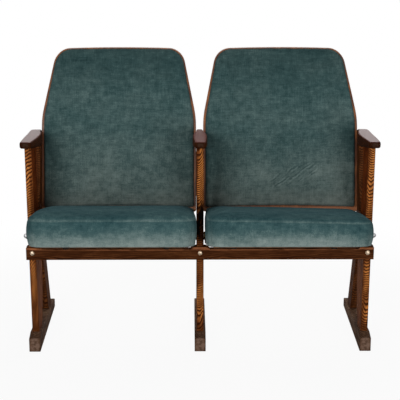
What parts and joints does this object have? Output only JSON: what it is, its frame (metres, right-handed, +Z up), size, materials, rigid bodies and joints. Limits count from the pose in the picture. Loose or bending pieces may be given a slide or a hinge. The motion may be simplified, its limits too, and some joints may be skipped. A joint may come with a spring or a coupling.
{
  "type": "tip up auditorium bench",
  "caption": "Free-standing timber auditorium bench with tip-up upholstered seats, shared armrests and curved padded backs on a rail-and-runner frame.",
  "frame": {"origin": "on the floor, under the middle of the bench's bounding box", "axes": "+X to the right as seen from the front, along the bench; -Y is the front, which the sitter faces; +Z up"},
  "size_m": [1.1046, 0.635, 0.909],
  "materials": {
    "standard_oak": "dark stained oak boards, satin, open grain that shows orange",
    "armrest_oak": "dark stained oak, hand-worn satin lacquer",
    "rail_oak": "dark stained oak, fine grain along the rail, satin",
    "runner_oak": "dark stained oak, worn and greyed at the edges",
    "back_ply": "bent plywood, stained, orange-brown edge",
    "seat_ply": "plywood, thinly stained underside",
    "beech": "stained beech",
    "seat_velvet": "teal velvet with a brushed nap, sewn seam round the top",
    "back_velvet": "teal velvet with a brushed nap",
    "plate_steel": "black japanned steel",
    "pivot_steel": "nickel-plated steel, dulled",
    "screw_steel": "darkened steel",
    "washer_brass": "dulled brass",
    "bush_brass": "turned brass",
    "buffer_rubber": "black rubber"
  },
  "bodies": {
    "frame": {"left_runner": "runner_oak", "left_front_post": "standard_oak", "left_rear_leg": "standard_oak", "left_rear_upright": "standard_oak", "left_armrest": "armrest_oak", "middle_runner": "runner_oak", "middle_front_post": "standard_oak", "middle_rear_leg": "standard_oak", "middle_rear_upright": "standard_oak", "middle_armrest": "armrest_oak", "right_runner": "runner_oak", "right_front_post": "standard_oak", "right_rear_leg": "standard_oak", "right_rear_upright": "standard_oak", "right_armrest": "armrest_oak", "front_rail": "rail_oak", "rear_rail": "rail_oak", "frame_dowels": "beech", "rail_screws": "screw_steel", "rail_cup_washers": "washer_brass", "rear_rail_screws": "screw_steel", "cleat_screws": "screw_steel", "back_panel_screws": "screw_steel", "outer_pivot_bolts": "pivot_steel", "middle_pivot_pin": "pivot_steel", "pivot_washers": "pivot_steel", "pivot_cap_nuts": "pivot_steel", "left_back_panel": "back_ply", "left_back_pad": "back_velvet", "left_outer_back_cleat": "beech", "left_inner_back_cleat": "beech", "right_back_panel": "back_ply", "right_back_pad": "back_velvet", "right_outer_back_cleat": "beech", "right_inner_back_cleat": "beech"},
    "left_seat": {"left_seat_board": "seat_ply", "left_seat_cushion": "seat_velvet", "left_outer_side_batten": "beech", "left_inner_side_batten": "beech", "left_landing_batten": "beech", "left_stop_batten": "beech", "left_outer_hinge_plate": "plate_steel", "left_inner_hinge_plate": "plate_steel", "left_hinge_bushes": "bush_brass", "left_rubber_buffers": "buffer_rubber", "left_hinge_screws": "screw_steel", "left_batten_screws": "screw_steel"},
    "right_seat": {"right_seat_board": "seat_ply", "right_seat_cushion": "seat_velvet", "right_outer_side_batten": "beech", "right_inner_side_batten": "beech", "right_landing_batten": "beech", "right_stop_batten": "beech", "right_outer_hinge_plate": "plate_steel", "right_inner_hinge_plate": "plate_steel", "right_hinge_bushes": "bush_brass", "right_rubber_buffers": "buffer_rubber", "right_hinge_screws": "screw_steel", "right_batten_screws": "screw_steel"}
  },
  "joints": [
    {"name": "left_seat_tip", "type": "hinge", "parent": "frame", "child": "left_seat", "pos_m": [-0.261, -0.05, 0.363], "axis": [-1, 0, 0], "range_deg": [0, 77.8]},
    {"name": "right_seat_tip", "type": "hinge", "parent": "frame", "child": "right_seat", "pos_m": [0.261, -0.05, 0.363], "axis": [-1, 0, 0], "range_deg": [0, 77.8]}
  ]
}
